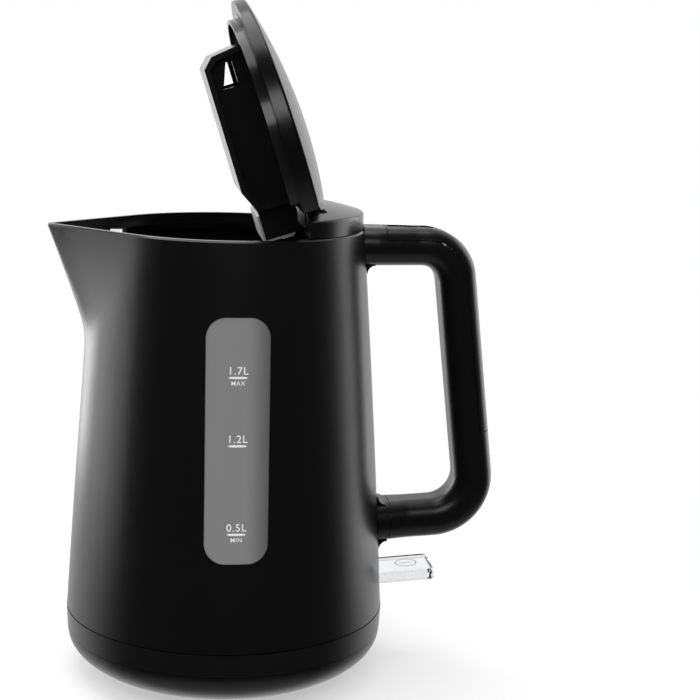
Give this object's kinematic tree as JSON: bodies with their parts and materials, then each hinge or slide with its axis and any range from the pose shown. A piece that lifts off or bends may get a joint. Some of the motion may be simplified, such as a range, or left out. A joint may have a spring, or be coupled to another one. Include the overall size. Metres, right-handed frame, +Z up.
{
  "type": "electric kettle",
  "caption": "Black cordless jug kettle on a round power base, with a spring-opened hinged lid, a level window, a loop handle with a lid button and a rocker switch.",
  "frame": {"origin": "on the table, at the middle of the power base", "axes": "+Z up, +X towards the handle, -X towards the spout, -Y towards the level window"},
  "size_m": [0.2288, 0.1632, 0.3407],
  "materials": {
    "satin_black": "satin black moulding",
    "gloss_black": "polished black moulding",
    "soft_black": "soft foot and seal",
    "smoke_clear": "grey see-through plastic",
    "clear": "clear plastic",
    "steel": "brushed stainless steel",
    "spring_steel": "bright spring and screw steel",
    "alloy": "cast alloy",
    "copper_contact": "contact metal",
    "control_grey": "heat-proof moulding",
    "filter_white": "pale filter frame"
  },
  "bodies": {
    "power_base": {"base_upper_shell": "satin_black", "base_lower_cover": "satin_black", "foot_ring": "soft_black", "base_screws": "spring_steel", "cord_inlet": "soft_black", "base_connector": "satin_black", "base_contacts": "copper_contact"},
    "kettle_connector": {"connector_plug": "satin_black", "connector_pins": "copper_contact"},
    "kettle": {"bottom_ring": "satin_black", "underside_cover": "satin_black", "underside_screws": "spring_steel", "jug_body": "satin_black", "level_window": "smoke_clear", "element_seal": "soft_black", "heating_plate": "steel", "heat_spreader": "alloy", "heating_element": "steel", "bimetal_discs": "copper_contact", "thermostat_control": "control_grey", "trip_rod": "control_grey", "steam_tube": "satin_black", "mouth_ring": "satin_black", "filter_frame": "filter_white", "filter_mesh": "steel", "hinge_housing": "satin_black", "hinge_pin": "spring_steel", "lid_spring": "spring_steel", "handle_shell": "satin_black", "handle_cover": "satin_black", "handle_screws": "spring_steel", "button_spring": "spring_steel", "lever_pin": "spring_steel"},
    "lid": {"lid_outer": "satin_black", "lid_liner": "gloss_black", "lid_catch": "steel"},
    "button": {"release_button": "satin_black"},
    "latch": {"release_latch": "satin_black"},
    "lever": {"switch_lever": "clear"}
  },
  "joints": [
    {"name": "kettle_lift", "type": "slide", "parent": "power_base", "child": "kettle_connector", "axis": [0, 0, 1], "range_m": [0, 0.06]},
    {"name": "kettle_swivel", "type": "hinge", "parent": "kettle_connector", "child": "kettle", "pos_m": [0, 0, 0], "axis": [0, 0, 1], "continuous": true},
    {"name": "lid_hinge", "type": "hinge", "parent": "kettle", "child": "lid", "pos_m": [0.0396, 0, 0.2369], "axis": [0, 1, 0], "range_deg": [-72.1, 0], "stiffness_Nm_per_rad": 0.05, "springref_deg": 68.75, "deforming": ["lid_spring"]},
    {"name": "button_press", "type": "slide", "parent": "kettle", "child": "button", "axis": [0, 0, -1], "range_m": [0, 0.003], "stiffness_N_per_m": 300, "springref_m": -0.003, "deforming": ["button_spring"]},
    {"name": "latch_slide", "type": "slide", "parent": "kettle", "child": "latch", "axis": [1, 0, 0], "range_m": [0, 0.003]},
    {"name": "switch_rock", "type": "hinge", "parent": "kettle", "child": "lever", "pos_m": [0.0695, 0, 0.0464], "axis": [0, 1, 0], "range_deg": [0, 9]}
  ],
  "couplings": [
    {"joint": "latch_slide", "follows": "button_press", "ratio": 1}
  ]
}
